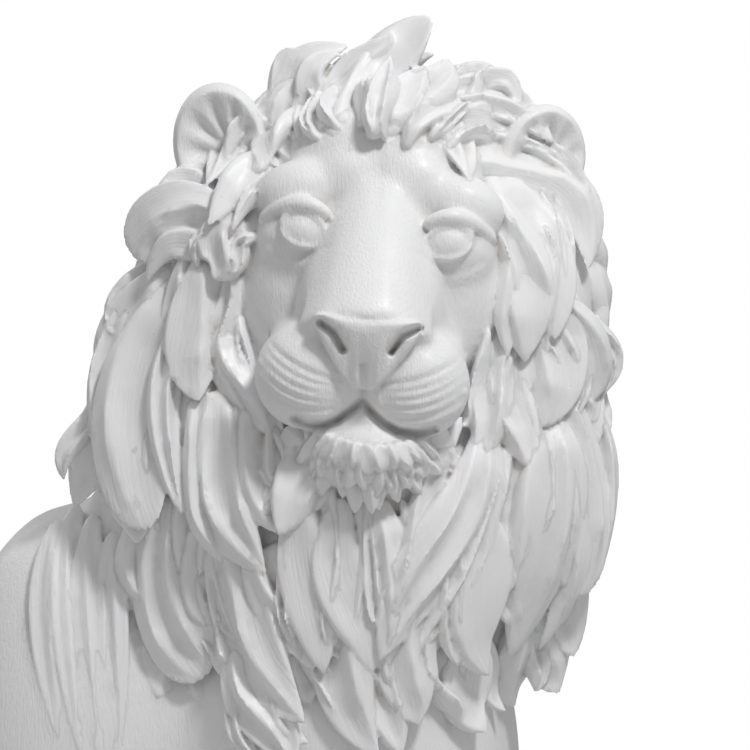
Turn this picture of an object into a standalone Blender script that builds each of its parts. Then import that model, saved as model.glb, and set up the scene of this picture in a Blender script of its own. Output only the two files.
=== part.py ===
"""Cast resin lion bust: head, mane, chest and shoulders in one piece, cut flat below.

Metres, +Z up, the lion looks along -Y. The free form is placed in hundredths of the
height, so a point (x, y, z) of (0, -10, 70) is 10% of the height forward and 70% up.
"""

import math
import random

import bmesh
import bpy
import numpy as np
from mathutils import Euler, Matrix, Vector
from mathutils.bvhtree import BVHTree

# Driving sizes, in metres
HEIGHT = 0.600
GRAIN = 0.0033
LOCK_RISE = 0.0130

# The paint on the cast, and the number of facets the solid keeps
WHITE_RESIN = (0.80, 0.80, 0.79, 1.0)
PAINT_ROUGHNESS = 0.55
FACETS = 9400
# The face keeps more facets than the mane: its half width, foot and top in the head's own axes,
# and how readily its facets are given up, where the mane's is 1
FACE_REACH = (14.5, -25.0, 16.5)
FACE_SPARE = 0.98

SHARE = HEIGHT / 100
RISE = LOCK_RISE / SHARE

# The head leans and turns a little on the neck. Its own axes start between the ears' roots.
HEAD_CENTRE = (0.0, 0.0, 66.0)
HEAD_LEAN = 5.2
HEAD_YAW = -2.0
HEAD = Matrix.Translation(HEAD_CENTRE) @ Euler(
    (0, math.radians(HEAD_LEAN), math.radians(HEAD_YAW))
).to_matrix().to_4x4()
WORLD = Matrix.Identity(4)

# Chest and shoulders, then neck and mane bulk, as centre, radii and turn in degrees
BODY_FORMS = {
    "trunk": ((-26, 25, 0), (33, 20, 37), (0, 0, -38)),
    "near_shoulder": ((-38, 14, 4), (19, 17, 36), (0, 0, 0)),
    "far_shoulder": ((5, 17, 2), (15, 16, 29), (0, 0, 0)),
    "chest": ((-4, 6, 4), (21, 16, 34), (0, 0, 0)),
}
MANE_FORMS = {
    "mane_core": ((-1, 8, 56), (23.5, 15, 29), (0, 0, 0)),
    "mane_crown": ((0, 8, 74), (18.5, 12, 15.5), (0, 0, 0)),
    "chest_mane": ((-1, 1, 33), (18.5, 12, 22), (0, 0, 0)),
    "left_drape": ((-20.5, 8, 44), (15, 12.5, 22), (0, 8, 0)),
    "right_drape": ((15.5, 6, 42), (12.5, 11.5, 20), (0, -6, 0)),
    "left_temple": ((-19, 6, 66), (10.5, 9.5, 13), (0, 0, 0)),
    "right_temple": ((18.5, 5, 63), (9.5, 9.5, 14), (0, 0, 0)),
    "nape": ((-8, 19, 50), (21, 15, 30), (0, 0, 0)),
    "right_throat": ((13.5, 0, 45.5), (5.5, 5, 9), (0, 0, 0)),
    "under_chin": ((2, -4, 41), (9, 7, 8), (0, 0, 0)),
    "ear_root": ((-17, 0, 73), (5, 4.5, 6), (0, 0, 0)),
    "temple_root": ((-14.5, -1.5, 73), (3.5, 5, 5), (0, 0, 0)),
}

# The skull and the soft forms of the face, in the head's own axes
SKULL_FORMS = {
    "cranium": ((0, 5, 8), (15.5, 14.5, 15.5), (0, 0, 0)),
    "forehead": ((0, -1.2, 13.5), (13, 8.0, 9.5), (0, 0, 0)),
    "cheek": ((10.6, -1.5, -1), (6.5, 7.2, 10.5), (0, 0, 0)),
    "muzzle": ((0, -6.5, -8), (10.0, 11.5, 9.5), (0, 0, 0)),
    "jaw": ((1.2, -5, -17), (9, 10, 9), (0, 0, 0)),
}
FACE_FORMS = {
    "pad": ((6.4, -12.4, -12.2), (6.8, 5.6, 6.8), (0, 0, 0)),
    "pad_root": ((6.8, -8.6, -10.4), (5.8, 6.4, 5.8), (0, 0, 0)),
    "orbit": ((9.2, -6.6, 4.4), (5.6, 4.1, 5.6), (0, 0, 0)),
    "frontal": ((3.9, -7.0, 12.2), (4.4, 2.8, 4.4), (0, 0, 0)),
    "nose_side": ((4.6, -9.6, -3.6), (4.4, 6.2, 7.6), (0, 0, 0)),
    "brow": ((9.8, -6.5, 10.0), (5.8, 3.7, 4.2), (0, 14, 0)),
    "chin": ((1.4, -11.6, -21.6), (7.0, 5.2, 4.6), (0, 0, 0)),
    "cheekbone": ((10.4, -3.6, -0.6), (5.4, 5.4, 7.6), (0, 0, 0)),
}
EYE = (9.0, -8.5, 5.2)
EYE_RADII = (3.5, 3.1, 3.1)
LID_RADII = (2.6, 1.85)

# The lump that the nose is cut from: its middle, half widths at top and foot, half height
NOSE_LUMP = (0.3, -17.6, -8.6)
NOSE_LUMP_WIDTHS = (7.7, 1.4)
NOSE_LUMP_HEIGHT = 4.8

# Strokes pressed into the face: points across and up the head's front, radius, depth
STROKES = {
    "philtrum": (((0.2, -10.4), (0.3, -15.2)), 0.8, 0.7),
    "mouth_left": (((0.3, -14.9), (-1.0, -16.2), (-2.6, -17.6), (-4.3, -18.4), (-6.6, -18.2)), 0.9, 2.2),
    "mouth_right": (((0.3, -14.9), (1.4, -15.8), (3.4, -17.3), (5.3, -18.3), (9.4, -17.2)), 0.9, 2.2),
    "nostril_left": (((-5.3, -5.9), (-3.7, -6.9), (-2.4, -8.8)), 0.75, 2.0),
    "nostril_right": (((6.4, -5.5), (4.6, -6.6), (3.4, -8.6)), 0.75, 2.0),
    "brow_crease": (((-0.2, 8.0), (-0.2, 16.0)), 0.9, 0.12),
}
STROKE_FRONT = -7.0

# The nose's front is cut to one plane below a crisp edge: the edge's middle, how far it climbs
# to its corners, the foot, half widths at edge and foot, how far forward the edge stands and
# how fast the plane falls back below it
NOSE_EDGE = (0.3, -5.8)
NOSE_CORNER_RISE = 2.5
NOSE_FOOT = -15.2
NOSE_HALF_WIDTHS = (9.2, 0.8)
NOSE_SOFT_SIDE = 1.2
NOSE_REACH = -20.9
NOSE_FALL = 0.46

# Where the ears stand, their radii and turn: the left one faces us, the right one turns away
EARS = (
    ((-19.3, 1.5, 83.2), (6.1, 2.8, 7.9), (6, -6, -8)),
    ((21.0, 2.5, 81.6), (6.0, 2.8, 6.9), (6, 10, 26)),
)

EAR_CUP = 0.86
EAR_FOLDS = 11
EAR_FOLD = 0.13

# Hand-placed locks as seen from the front: root, middle and tip as (across, up), width, lift
FRONT_LOCKS = {
    "crest": ((-5.0, 83.5), (0.0, 91.2), (6.9, 96.6), 6.6, 0.6),
    "crest_back": ((-11.0, 84.0), (-9.2, 90.0), (-2.6, 94.0), 6.4, 0.0),
    "crest_side": ((1.3, 83.5), (5.0, 88.1), (8.3, 92.3), 6.5, 0.4),
    "crest_small": ((6.9, 86.0), (10.4, 89.8), (13.8, 91.6), 4.6, 0.2),
    "forelock": ((0.2, 82.8), (0.4, 87.0), (1.8, 92.0), 3.0, 1.2),
    "temple_tuft": ((-13.2, 81.6), (-12.2, 86.0), (-8.8, 90.0), 5.6, 0.2),
    "temple_curl": ((-5.6, 84.6), (-7.3, 87.8), (-3.8, 91.4), 4.4, 0.4),
    "ear_flap": ((-8.6, 79.6), (-14.4, 82.4), (-19.6, 75.4), 5.4, 2.2),
    "ear_flap_low": ((-11.2, 77.6), (-15.4, 78.0), (-19.6, 72.0), 4.8, 1.6),
    "brow_tuft_a": ((-8.4, 83.2), (-9.6, 86.4), (-8.0, 90.4), 4.4, 0.0),
    "brow_tuft_b": ((-3.4, 85.2), (-3.0, 88.6), (-0.6, 92.2), 4.4, 0.0),
    "brow_tuft_c": ((2.4, 84.4), (3.8, 88.0), (5.8, 91.6), 4.6, 0.0),
    "brow_tuft_d": ((5.2, 84.4), (7.8, 87.4), (11.0, 89.2), 4.4, 0.0),
    "brow_tuft_e": ((8.0, 83.4), (11.4, 85.6), (15.4, 85.6), 4.0, 0.0),
    "right_sweep": ((4.8, 86.4), (13.1, 88.2), (20.8, 82.0), 5.4, 0.8),
    "right_sweep_low": ((7.6, 84.6), (13.6, 85.2), (20.2, 81.0), 4.8, 0.8),
    "right_fall": ((9.0, 82.0), (21.3, 77.4), (24.9, 66.4), 7.2, 0.8),
    "right_fall_top": ((9.6, 83.6), (18.4, 81.2), (24.6, 73.1), 5.6, 0.4),
    "right_cheek": ((12.9, 80.0), (19.6, 70.0), (21.6, 58.6), 7.6, 0.8),
    "right_cheek_in": ((16.4, 74.4), (18.7, 65.0), (18.2, 56.2), 6.0, 0.8),
    "right_jaw": ((15.8, 60.0), (14.2, 51.3), (11.6, 43.0), 4.6, 1.0),
    "right_jaw_out": ((16.4, 58.4), (16.5, 50.0), (18.8, 42.6), 5.2, 0.6),
    "right_leaf": ((23.1, 64.0), (22.1, 56.3), (19.8, 47.6), 6.6, 1.2),
    "right_lobe": ((20.4, 64.2), (24.4, 58.5), (24.2, 51.0), 7.4, 0.6),
    "right_lobe_low": ((21.4, 56.3), (24.2, 51.6), (25.2, 48.2), 5.0, 0.2),
    "right_outer": ((21.6, 53.4), (24.9, 41.3), (23.6, 27.2), 7.6, 0.8),
    "right_big": ((21.6, 49.0), (20.8, 36.3), (15.4, 20.2), 8.6, 1.2),
    "right_inner": ((11.6, 39.5), (11.8, 27.5), (12.8, 17.8), 7.0, 0.6),
    "right_throat": ((13.4, 48.0), (8.0, 33.5), (0.3, 20.0), 7.6, 0.6),
    "right_claw": ((7.2, 30.0), (3.4, 20.0), (4.9, 11.6), 6.6, 0.8),
    "right_low": ((8.8, 23.0), (10.6, 16.3), (12.9, 10.2), 6.4, 0.2),
    "right_back": ((22.5, 34.0), (21.8, 28.4), (19.4, 23.6), 5.6, 0.0),
    "right_back_low": ((18.1, 28.0), (17.7, 20.0), (16.2, 12.0), 6.0, 0.0),
    "throat_left": ((-3.8, 39.5), (-3.2, 27.5), (-0.4, 18.6), 6.0, 0.2),
    "throat_mid": ((0.4, 39.5), (1.4, 28.0), (0.6, 18.6), 5.6, 0.0),
    "breast_left": ((-5.6, 31.5), (-4.0, 20.0), (0.4, 7.6), 7.0, 0.2),
    "breast_right": ((1.3, 24.5), (0.2, 16.3), (3.1, 8.0), 6.4, 0.0),
    "left_knob": ((-15.6, 72.6), (-18.2, 70.4), (-19.6, 66.2), 5.6, 1.0),
    "left_ear_back": ((-17.8, 73.0), (-23.8, 73.6), (-28.9, 68.6), 8.4, 0.4),
    "left_cheek": ((-20.0, 70.4), (-21.6, 60.0), (-21.4, 50.6), 7.0, 1.0),
    "left_big": ((-23.6, 66.0), (-29.6, 51.5), (-27.1, 35.2), 8.4, 1.0),
    "left_jaw": ((-18.2, 61.5), (-17.0, 54.0), (-12.8, 47.0), 4.6, 0.8),
    "left_outer": ((-25.0, 68.0), (-29.9, 60.5), (-31.2, 53.0), 6.6, 0.4),
    "left_outer_low": ((-30.4, 54.6), (-33.9, 46.3), (-36.4, 37.2), 6.6, 0.4),
    "left_scoop": ((-30.2, 48.5), (-30.4, 40.0), (-28.8, 33.8), 5.0, 0.4),
    "left_breast": ((-19.3, 52.5), (-18.8, 41.3), (-12.1, 30.2), 8.2, 1.2),
    "left_breast_in": ((-15.4, 52.0), (-14.3, 43.8), (-10.9, 34.8), 5.6, 1.0),
    "left_low": ((-24.6, 39.6), (-25.6, 27.5), (-19.9, 16.4), 8.6, 0.8),
    "left_sweep": ((-17.7, 37.0), (-14.6, 23.8), (-7.9, 11.6), 7.6, 1.0),
    "left_throat": ((-10.6, 48.0), (-8.7, 41.3), (-11.1, 34.6), 5.6, 0.8),
    "left_throat_low": ((-8.1, 41.0), (-8.1, 28.8), (-5.9, 18.2), 5.6, 0.4),
    "left_foot": ((-15.8, 22.0), (-14.0, 13.8), (-9.6, 6.2), 6.4, 0.0),
    "left_hook": ((-19.4, 26.5), (-18.0, 21.3), (-14.9, 16.2), 4.4, 0.4),
}
# Long strands that hang over the near shoulder: root, middle and tip as (across, up)
SHOULDER_STRANDS = (
    ((-39.9, 36.0), (-41.3, 25.0), (-39.3, 9.0)),
    ((-37.7, 38.0), (-38.5, 26.0), (-36.5, 7.0)),
    ((-35.3, 37.0), (-35.9, 25.0), (-34.1, 6.0)),
    ((-32.8, 35.0), (-33.1, 23.0), (-31.9, 5.0)),
)
STRAND_WIDTH = 4.4
# Locks at the outline are turned to show their broad side in front
FRONT_WIDTH = 1.16
SIDE_LOCK_WIDTH = 0.42
LOCK_SIDES = 36
TOWARDS_FRONT = Vector((0, -0.9, 0))
BLUNT_LOCKS = {
    "crest", "left_ear_back", "right_lobe", "right_lobe_low", "right_outer", "left_big",
    "left_outer", "left_low", "right_back",
}

# The mane out of the photograph's sight: rows round its centre, as elevation, fall, lock count
# and arc in degrees. Past its reach a lock sinks into the shoulder.
MANE_CENTRE = (-2.0, 10.0, 56.0)
BACK_ROWS = (
    (84, 40, 9, (20, 330)), (64, 36, 11, (70, 282)), (46, 34, 13, (74, 276)),
    (30, 34, 14, (76, 272)), (14, 34, 14, (76, 270)), (0, 34, 14, (76, 268)),
    (-14, 32, 14, (76, 268)), (-26, 24, 13, (78, 262)),
)
MANE_REACH = 31.0
BACK_WIDTH = 8.5
UNDER_ROWS = ((66, 14), (58, 15), (50, 15), (42, 15), (34, 15), (27, 13))
UNDER_STEP = 6.0


def add_lump(clay, lump):
    """Puts a finished lump in with the rest of the clay."""
    mesh = bpy.data.meshes.new("lump")
    lump.to_mesh(mesh)
    lump.free()
    clay.from_mesh(mesh)
    bpy.data.meshes.remove(mesh)


def ball(clay, centre, radii, turn, frame):
    """One smooth lump of clay."""
    angles = Euler([math.radians(angle) for angle in turn])
    place = frame @ Matrix.LocRotScale(Vector(centre), angles, Vector(radii))
    lump = bmesh.new()
    bmesh.ops.create_uvsphere(lump, u_segments=28, v_segments=18, radius=1, matrix=place)
    add_lump(clay, lump)


def pair(clay, centre, radii, turn, frame):
    """A lump and its twin across the middle of the face."""
    ball(clay, centre, radii, turn, frame)
    if centre[0] > 1.5:
        twin = (-centre[0], centre[1], centre[2])
        ball(clay, twin, radii, (turn[0], -turn[1], -turn[2]), frame)


def blade(clay, line, outward, shape, sides=18, crisp=1.0):
    """A closed blade along a line. shape(t, s) gives its half width, and its top and bottom at s."""
    rings = len(line) - 1
    lump = bmesh.new()
    bmesh.ops.create_uvsphere(lump, u_segments=sides, v_segments=rings, radius=1)
    for vert in lump.verts:
        ring = round(math.acos(max(-1.0, min(1.0, vert.co.z))) / math.pi * rings)
        centre, normal = line[ring], outward[ring]
        along = (line[min(ring + 1, rings)] - line[max(ring - 1, 0)]).normalized()
        across = along.cross(normal).normalized()
        normal = across.cross(along)
        round_radius = math.hypot(vert.co.x, vert.co.y)
        if round_radius < 1e-4:
            vert.co = centre
            continue
        side, up = vert.co.x / round_radius, vert.co.y / round_radius
        up = math.copysign(abs(up) ** crisp, up)
        half_width, top, bottom = shape(ring / rings, side)
        height = top * up if up > 0 else bottom * up
        vert.co = centre + across * (half_width * side) + normal * height
    add_lump(clay, lump)


def curve_through(root, middle, tip, count):
    """Points on the bow that starts at root, passes the middle and ends at the tip."""
    handle = [2 * m - (a + b) / 2 for a, m, b in zip(root, middle, tip)]
    points = []
    for step in range(count + 1):
        t = step / count
        weights = ((1 - t) ** 2, 2 * t * (1 - t), t * t)
        points.append([weights[0] * a + weights[1] * h + weights[2] * b for a, h, b in zip(root, handle, tip)])
    return points


def bow_fit(values):
    """Evens out a run of vectors to the bow through its start, middle and end averages."""
    count = len(values) - 1
    third = max(1, count // 4)
    start = sum(values[: third + 1], Vector()) / (third + 1)
    end = sum(values[-third - 1 :], Vector()) / (third + 1)
    middle = values[count // 2]
    return [Vector(point) for point in curve_through(start, middle, end, count)]


def landed(surface, origin, direction, fallback):
    """Where a line of sight meets the form, and the way out of it there."""
    hit, normal, _, _ = surface.ray_cast(origin, direction)
    if hit is None:
        hit, normal, _, _ = surface.find_nearest(fallback)
    return hit, normal


def front_line(surface, root, middle, tip, rings, shift=0.0, sway=0.0):
    """A lock's line laid on the form as it is seen from the front, shifted sideways and swaying."""
    line, outward = [], []
    run = Vector((tip[0] - root[0], tip[1] - root[1])).normalized()
    for step, (across, up) in enumerate(curve_through(root, middle, tip, rings)):
        aside = shift + sway * math.sin(2 * math.pi * step / rings)
        across, up = across + run.y * aside, up - run.x * aside
        origin = Vector((across, -90, up))
        hit, normal = landed(surface, origin, Vector((0, 1, 0)), Vector((across, 2, up)))
        line.append(Vector((across, hit.y, up)))
        outward.append((normal + TOWARDS_FRONT).normalized())
    depths = bow_fit([Vector((point.y, 0, 0)) for point in line])
    line = [Vector((point.x, depth.x, point.z)) for point, depth in zip(line, depths)]
    return line, [normal.normalized() for normal in bow_fit(outward)]


def round_line(surface, start, end, rings):
    """A lock's line laid on the form from one (azimuth, elevation) to another, in degrees."""
    line, outward = [], []
    centre = Vector(MANE_CENTRE)
    for step in range(rings + 1):
        t = step / rings
        azimuth = math.radians(start[0] + (end[0] - start[0]) * t)
        rise = math.radians(start[1] + (end[1] - start[1]) * t)
        level = Vector((math.sin(azimuth), -math.cos(azimuth), 0))
        away = level * math.cos(rise) + Vector((0, 0, math.sin(rise)))
        hit, normal = landed(surface, centre + away * 90, -away, centre + away * 20)
        if (hit - centre).length > MANE_REACH:
            hit = centre + away * MANE_REACH
        line.append(hit)
        outward.append(normal)
    return bow_fit(line), [normal.normalized() for normal in bow_fit(outward)]


def leaf(t, blunt):
    """A lock's width along its length, from a firm root to a drawn-out or a blunt tip."""
    widest = 0.42 + 0.25 * blunt
    if t < widest:
        return 0.3 + 0.7 * math.sin(t / widest * math.pi / 2)
    taper = max(0.0, 1 - ((t - widest) / (1 - widest)) ** (2.0 + 1.4 * blunt))
    return taper ** (0.9 - 0.4 * blunt)


def lock(clay, line, outward, width, lift, chance, depth=1.0, blunt=0.15):
    """One lock of the mane: scooped between sharp ridges, its tip clear of what lies below."""
    ridges = chance.choice((0.8, 1.2, 1.6, 2.0)) + (0.5 if width > 8.5 else 0.0)
    phase = chance.uniform(0.0, 1.0)
    roll = math.radians(chance.uniform(-22, 22))
    count = len(line) - 1
    raised, turned = [], []
    for step, (point, normal) in enumerate(zip(line, outward)):
        t = step / count
        along = (line[min(step + 1, count)] - line[max(step - 1, 0)]).normalized()
        raised.append(point + normal * (1.0 + lift * min(1.0, 0.3 + t) + 1.5 * depth * t * t))
        turned.append(Matrix.Rotation(roll * math.sin(math.pi * t), 3, along) @ normal)

    def shape(t, side):
        thick = RISE * depth * (0.75 + 0.35 * math.sin(math.pi * t)) * min(1.0, (1.03 - t) * 3.0, 0.15 + 5 * t)
        swing = phase + 0.35 * t
        groove = abs(math.sin(math.pi * (ridges * side / 2 + swing))) ** 0.8
        scoop = 0.66 * min(1.0, 4.0 * t * (1.15 - t)) * groove
        crown = (1 - scoop) * (1 - 0.25 * side * side)
        return width / 2 * leaf(t, blunt), thick * crown, thick * 0.45 + 2.6 * (1 - t)

    blade(clay, raised, turned, shape, sides=LOCK_SIDES, crisp=0.6)


def ring_about(centre, radii, count, start, end):
    """Points round an oval in the head's front plane, from one angle to another."""
    points = []
    for step in range(count + 1):
        angle = math.radians(start + (end - start) * step / count)
        points.append(centre + Vector((radii[0] * math.cos(angle), 0, radii[1] * math.sin(angle))))
    return points


def rope(clay, points, outward, radius, frame):
    """An even ridge with round ends, such as a lid."""
    placed = [frame @ point for point in points]
    normals = [(frame.to_3x3() @ outward).normalized()] * len(points)

    def shape(t, _):
        size = radius * (0.55 + 0.45 * math.sin(math.pi * t))
        return size, size, size

    blade(clay, placed, normals, shape, sides=10)


def nose_bridge(clay):
    """The broad flat plane from the brow down to the nose's leading edge."""
    top, middle, end = (0, -4.3, 12.1), (0, -11.0, 2.8), (0, -17.7, -8.4)
    line = [HEAD @ Vector(point) for point in curve_through(top, middle, end, 14)]
    outward = [(HEAD.to_3x3() @ Vector((0, -0.8, 0.6))).normalized()] * len(line)

    def shape(t, side):
        half = 6.8 + 1.6 * t ** 1.5
        return half, 4.5 * (1 - 0.95 * abs(side) ** (2.4 + 3.6 * t)), 4.0

    blade(clay, line, outward, shape, sides=20)


def nose_lump(clay):
    """The wedge that the front of the nose is cut from, narrow at the foot."""
    lump = bmesh.new()
    bmesh.ops.create_uvsphere(lump, u_segments=32, v_segments=24, radius=1)
    wide, narrow = NOSE_LUMP_WIDTHS
    for vert in lump.verts:
        x, y, z = [math.copysign(abs(value) ** 0.45, value) for value in vert.co]
        up = (z + 1) / 2
        across = x * (narrow + (wide - narrow) * up ** 0.8)
        deep = y * 3.6 + (1 - up) * 3.0
        high = z * NOSE_LUMP_HEIGHT - 1.0 * (1 - x * x) * up
        vert.co = HEAD @ (Vector(NOSE_LUMP) + Vector((across, deep, high)))
    add_lump(clay, lump)


def lid_line(side, start, end, raise_up):
    """A lid's edge: an arc over the front of the eyeball, its outer corner a little higher."""
    line = []
    for along, _, up in ring_about(Vector(), LID_RADII, 16, start, end):
        up += raise_up + 0.12 * along
        drop = 1 - (along / EYE_RADII[0]) ** 2 - (up / EYE_RADII[2]) ** 2
        front = EYE[1] - EYE_RADII[1] * math.sqrt(max(drop, 0.1))
        line.append(Vector((side * (EYE[0] + along), front, EYE[2] + up)))
    return line


def eye(clay, side):
    """Eyeball with its upper and lower lid and the hood of the brow."""
    ball(clay, (EYE[0] * side, EYE[1], EYE[2]), EYE_RADII, (0, 0, 0), HEAD)
    out = Vector((0, -1, 0))
    rope(clay, lid_line(side, -10, 190, 0.35), out, 0.6, HEAD)
    rope(clay, lid_line(side, 170, 370, 0.0), out, 0.42, HEAD)
    arch = curve_through((5.6, -10.2, 6.9), (9.8, -10.5, 8.4), (14.8, -7.2, 5.8), 14)
    rope(clay, [Vector((side * x, y, z)) for x, y, z in arch], out, 1.15, HEAD)


def beard(clay, chance):
    """Short tufts that fan down and out from the chin."""
    for row, (count, reach, out) in enumerate(((13, 8.6, 0.0), (12, 6.6, 1.2), (11, 4.6, 2.0))):
        for index in range(count):
            spread = -1 + 2 * (index + 0.5 * row) / (count - 1)
            angle = math.radians(54 * spread)
            bend = spread * spread
            root = Vector((1.6 + 5.2 * spread, -14.4 - out + 3.4 * bend, -19.6 + 1.2 * bend))
            angle += chance.uniform(-0.2, 0.2)
            fall = Vector((math.sin(angle) * 0.8, 0.12 + 0.5 * abs(spread), -math.cos(angle)))
            tip = root + fall * reach * chance.uniform(0.8, 1.1)
            middle = (root + tip) / 2 + Vector((chance.uniform(-0.3, 0.3), -0.7, 0))
            line = [HEAD @ Vector(point) for point in curve_through(root, middle, tip, 8)]
            normal = (HEAD.to_3x3() @ Vector((0.6 * spread, -1, 0.1))).normalized()
            width = chance.uniform(2.6, 4.0)
            lock(clay, line, [normal] * len(line), width, -0.6, chance, depth=0.6, blunt=0.6)


def ear(clay, centre, radii, turn):
    """A round cupped ear: a flat ball whose front is pressed in behind a thick rim."""
    angles = Euler([math.radians(angle) for angle in turn])
    place = Matrix.LocRotScale(Vector(centre), angles, Vector(radii))
    lump = bmesh.new()
    bmesh.ops.create_uvsphere(lump, u_segments=96, v_segments=64, radius=1)
    for vert in lump.verts:
        reach = math.hypot(vert.co.x, vert.co.z)
        if vert.co.y < 0 and reach < EAR_CUP:
            fan = math.atan2(vert.co.z + 0.15, vert.co.x - 0.2)
            fold = EAR_FOLD * math.sin(EAR_FOLDS * fan) * math.sin(math.pi * reach / EAR_CUP)
            vert.co.y += 1.15 * (1 - (reach / EAR_CUP) ** 2) + fold
        vert.co = place @ vert.co
    add_lump(clay, lump)


def fused(bm, grain, smoothing):
    """Kneads overlapping lumps into one skin, and smooths the joins."""
    mesh = bpy.data.meshes.new("clay")
    bm.to_mesh(mesh)
    bm.free()
    clay = bpy.data.objects.new("clay", mesh)
    bpy.context.collection.objects.link(clay)
    remesh = clay.modifiers.new("knead", "REMESH")
    remesh.mode = "VOXEL"
    remesh.voxel_size = grain
    relax = clay.modifiers.new("relax", "SMOOTH")
    relax.factor = 0.5
    relax.iterations = smoothing
    bpy.context.view_layer.update()
    evaluated = clay.evaluated_get(bpy.context.evaluated_depsgraph_get())
    result = bpy.data.meshes.new_from_object(evaluated)
    bpy.data.objects.remove(clay)
    bpy.data.meshes.remove(mesh)
    made = bmesh.new()
    made.from_mesh(result)
    bpy.data.meshes.remove(result)
    return made


def base_form():
    """Torso, neck, the mane's bulk and the skull, before any hair."""
    bm = bmesh.new()
    for centre, radii, turn in BODY_FORMS.values():
        ball(bm, centre, radii, turn, WORLD)
    bm = fused(bm, 2.0, 40)
    for centre, radii, turn in MANE_FORMS.values():
        ball(bm, centre, radii, turn, WORLD)
    bm = fused(bm, 1.6, 16)
    for centre, radii, turn in SKULL_FORMS.values():
        pair(bm, centre, radii, turn, HEAD)
    return fused(bm, 1.0, 8)


def face_form(bm):
    """Brow, bridge, muzzle pads and chin, worked into the base form."""
    nose_bridge(bm)
    for centre, radii, turn in FACE_FORMS.values():
        pair(bm, centre, radii, turn, HEAD)
    return fused(bm, 0.5, 18)


def mane(bm, surface, chance):
    """All the locks, the lowest layer first."""
    for height, drop in UNDER_ROWS:
        across = -27.0 + UNDER_STEP * chance.random()
        while across < 25:
            root = (across, height)
            tip = (across * 1.02 + chance.uniform(-2, 2), height - drop)
            middle = ((root[0] + tip[0]) / 2 + chance.uniform(-1.2, 1.2), height - drop / 2)
            if abs(across) > (17 if height > 45 else 13) or height < 40:
                line, outward = front_line(surface, root, middle, tip, 14)
                lock(bm, line, outward, UNDER_STEP * 1.2, -1.3, chance, depth=0.75)
            across += UNDER_STEP
    for rise, fall, count, arc in BACK_ROWS:
        for index in range(count):
            share = (index + chance.uniform(0.2, 0.8)) / count
            azimuth = arc[0] + (arc[1] - arc[0]) * share
            start = (azimuth, rise + chance.uniform(-4, 4))
            end = (azimuth + chance.uniform(-12, 12), start[1] - fall * chance.uniform(0.8, 1.1))
            line, outward = round_line(surface, start, end, 18)
            width = BACK_WIDTH * chance.uniform(0.75, 1.1)
            lock(bm, line, outward, width, chance.uniform(0, 1), chance)
    for root, middle, tip in SHOULDER_STRANDS:
        line, outward = front_line(surface, root, middle, tip, 18)
        lock(bm, line, outward, STRAND_WIDTH, -1.0, chance, depth=0.42)
    for name, (root, middle, tip, width, lift) in FRONT_LOCKS.items():
        width *= FRONT_WIDTH
        for side in (-1, 1):
            reach = chance.uniform(0.7, 1.0)
            end = [a + (b - a) * reach for a, b in zip(root, tip)]
            aside = side * width * chance.uniform(0.3, 0.42)
            sway = width * chance.uniform(-0.14, 0.14)
            line, outward = front_line(surface, root, middle, end, 28, aside, sway)
            lock(bm, line, outward, width * SIDE_LOCK_WIDTH, lift - 0.5, chance, depth=0.9)
        sway = 0 if name in BLUNT_LOCKS else width * chance.uniform(-0.16, 0.16)
        line, outward = front_line(surface, root, middle, tip, 36, sway=sway)
        blunt = 0.8 if name in BLUNT_LOCKS else 0.1
        lock(bm, line, outward, width, lift, chance, blunt=blunt)


def largest_body(bm):
    """Deletes any crumb or sealed bubble, so that one closed skin is left."""
    unseen = set(bm.verts)
    bodies = []
    while unseen:
        reached = [unseen.pop()]
        body = []
        while reached:
            vert = reached.pop()
            body.append(vert)
            for edge in vert.link_edges:
                other = edge.other_vert(vert)
                if other in unseen:
                    unseen.remove(other)
                    reached.append(other)
        bodies.append(body)
    bodies.sort(key=len)
    for body in bodies[:-1]:
        bmesh.ops.delete(bm, geom=body, context="VERTS")


def nose_cut(own):
    """How far each point must go back to lie behind the plane of the nose's front."""
    across, deep, up = own[:, 0] - NOSE_EDGE[0], own[:, 1], own[:, 2]
    wide, narrow = NOSE_HALF_WIDTHS
    edge = NOSE_EDGE[1] + NOSE_CORNER_RISE * (across / wide) ** 2
    share = np.clip((up - NOSE_FOOT) / (edge - NOSE_FOOT), 0, 1)
    half = narrow + (wide - narrow) * share ** 1.2
    plane = NOSE_REACH + NOSE_FALL * (edge - up) + 0.03 * across ** 2
    inside = (up < edge) * np.clip((half - np.abs(across)) / NOSE_SOFT_SIDE, 0, 1)
    inside *= np.clip((up - NOSE_FOOT) / NOSE_SOFT_SIDE, 0, 1)
    return np.maximum(plane - deep, 0) * inside


def pressed(mesh):
    """Pushes the modelling strokes into the front of the face."""
    to_head = np.array(HEAD.inverted())
    inward = np.array(HEAD.to_3x3() @ Vector((0, 1, 0)))
    points = np.empty(len(mesh.vertices) * 3)
    mesh.vertices.foreach_get("co", points)
    points = points.reshape(-1, 3)
    own = points @ to_head[:3, :3].T + to_head[:3, 3]
    front = own[:, 1] < STROKE_FRONT
    push = np.zeros(len(own))
    cut = nose_cut(own)
    own[:, 1] += cut
    for path, radius, depth in STROKES.values():
        nearest = np.full(len(own), radius)
        for start, end in zip(path, path[1:]):
            start, run = np.array(start), np.array(end) - np.array(start)
            offset = own[:, (0, 2)] - start
            share = np.clip(offset @ run / (run @ run), 0, 1)
            nearest = np.minimum(nearest, np.linalg.norm(offset - share[:, None] * run, axis=1))
        push = np.maximum(push, depth * (1 - (nearest / radius) ** 2) ** 2 * front)
    points += (push + cut)[:, None] * inward
    mesh.vertices.foreach_set("co", points.ravel())


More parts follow.
